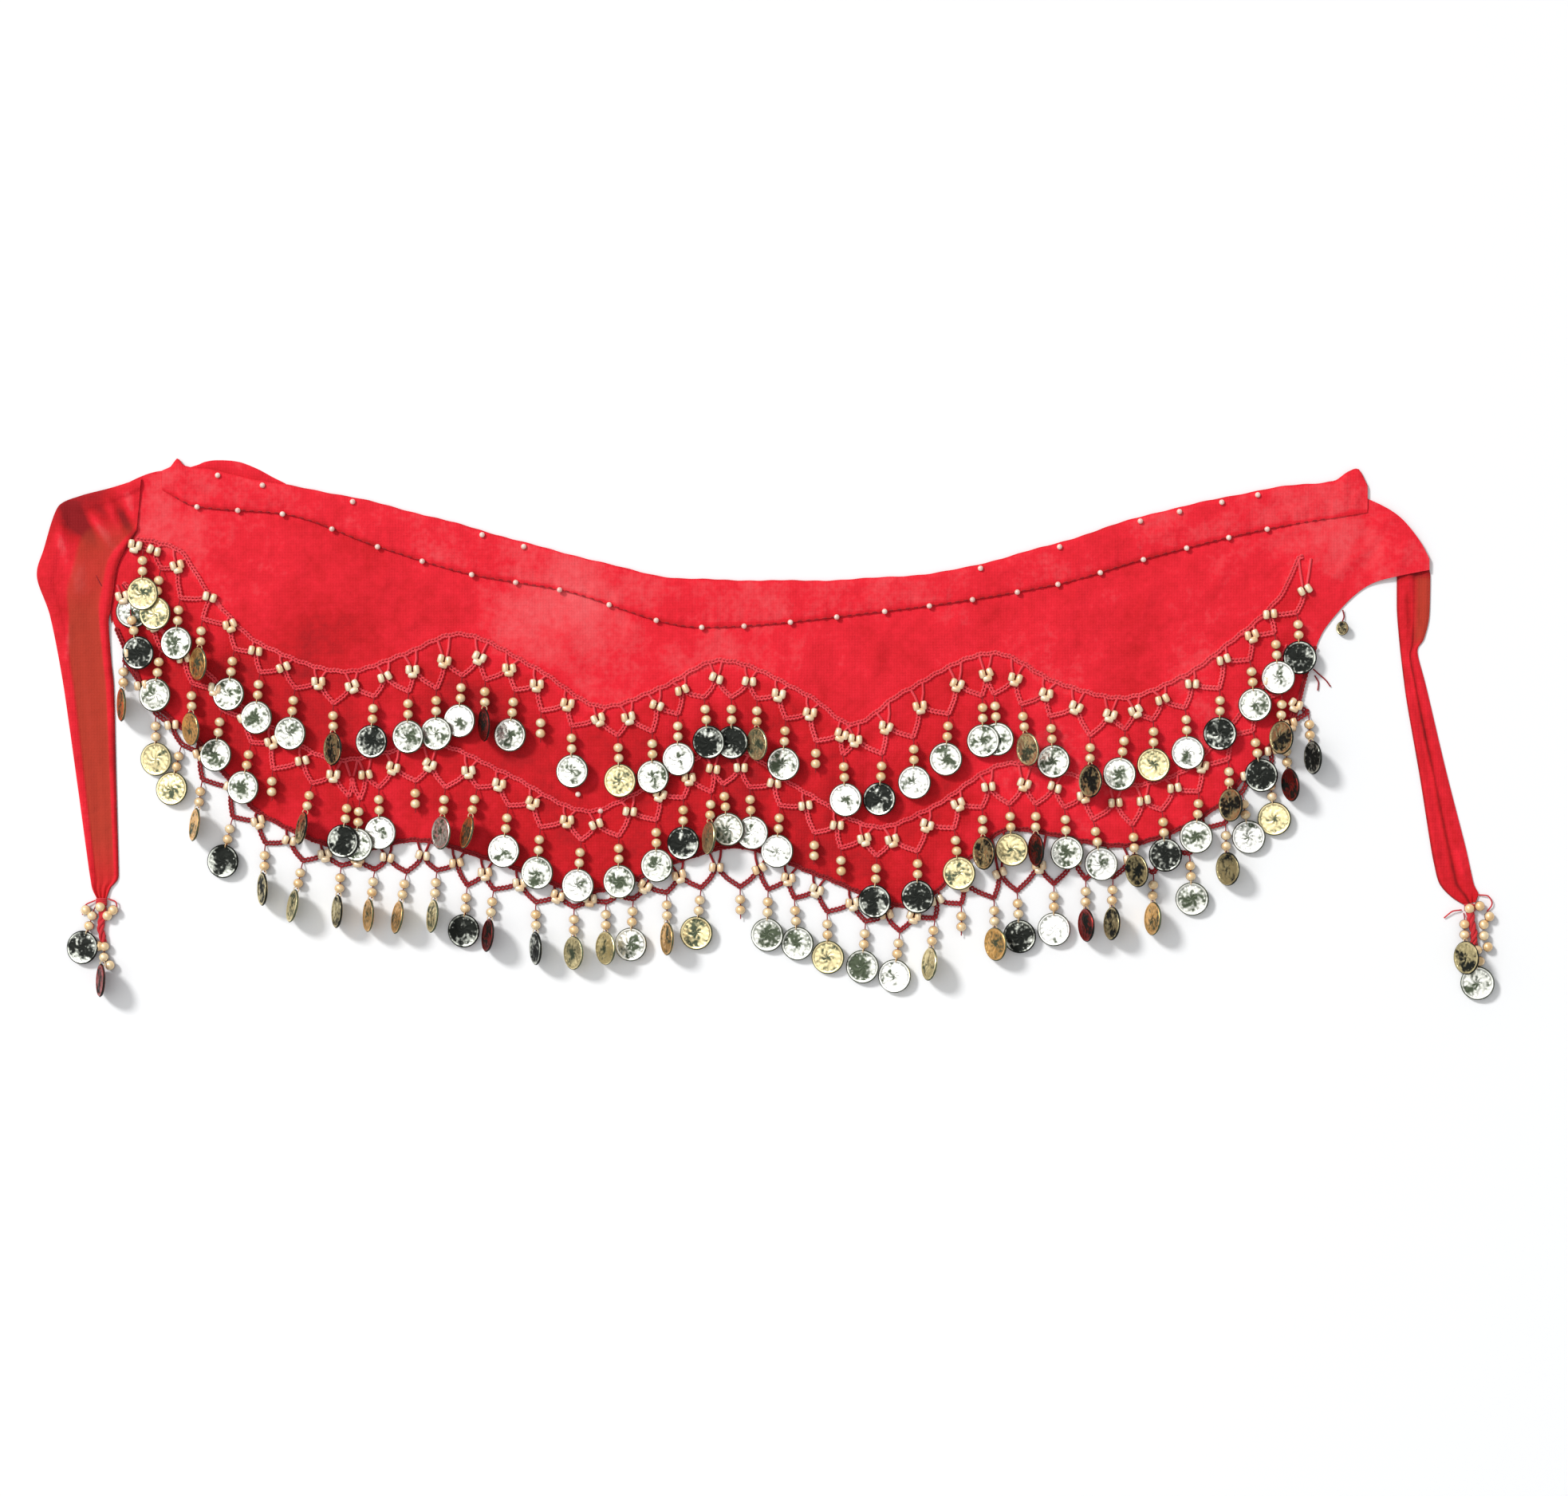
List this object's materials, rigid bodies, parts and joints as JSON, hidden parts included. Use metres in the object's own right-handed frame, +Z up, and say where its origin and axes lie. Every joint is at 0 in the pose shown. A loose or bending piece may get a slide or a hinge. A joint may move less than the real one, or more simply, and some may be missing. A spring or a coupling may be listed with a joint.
{
  "type": "belly dance coin hip scarf",
  "caption": "Red chiffon belly dance hip scarf laid flat, with a stitched waist casing, scalloped rows of crochet net hung with beads and coins, and a coin tassel on each tie.",
  "frame": {"origin": "centre of the bounding box in X and Y, on the surface that the scarf lies on", "axes": "+X along the scarf, from the wide tie to the narrow one; +Y from the coins up to the waist edge; +Z up from the surface, out of the side that carries the coins"},
  "size_m": [0.9122, 0.3394, 0.0262],
  "materials": {
    "chiffon": "thin soft crepe chiffon, slightly see-through",
    "crochet_thread": "matte twisted thread",
    "coin_metal": "bright stamped, pale gold",
    "tarnished_coin": "dark, with worn bright edges",
    "gold_bead": "metallised gloss",
    "pearl": "pearl lustre"
  },
  "bodies": {
    "root": {"scarf_panel": "chiffon", "waist_casing": "chiffon", "turned_edge": "chiffon", "tie_left": "chiffon", "tie_right": "chiffon", "coin_row_1": "coin_metal", "coin_row_2": "coin_metal", "coin_row_3": "coin_metal", "tassel_left": "coin_metal", "tassel_right": "coin_metal"}
  },
  "joints": []
}
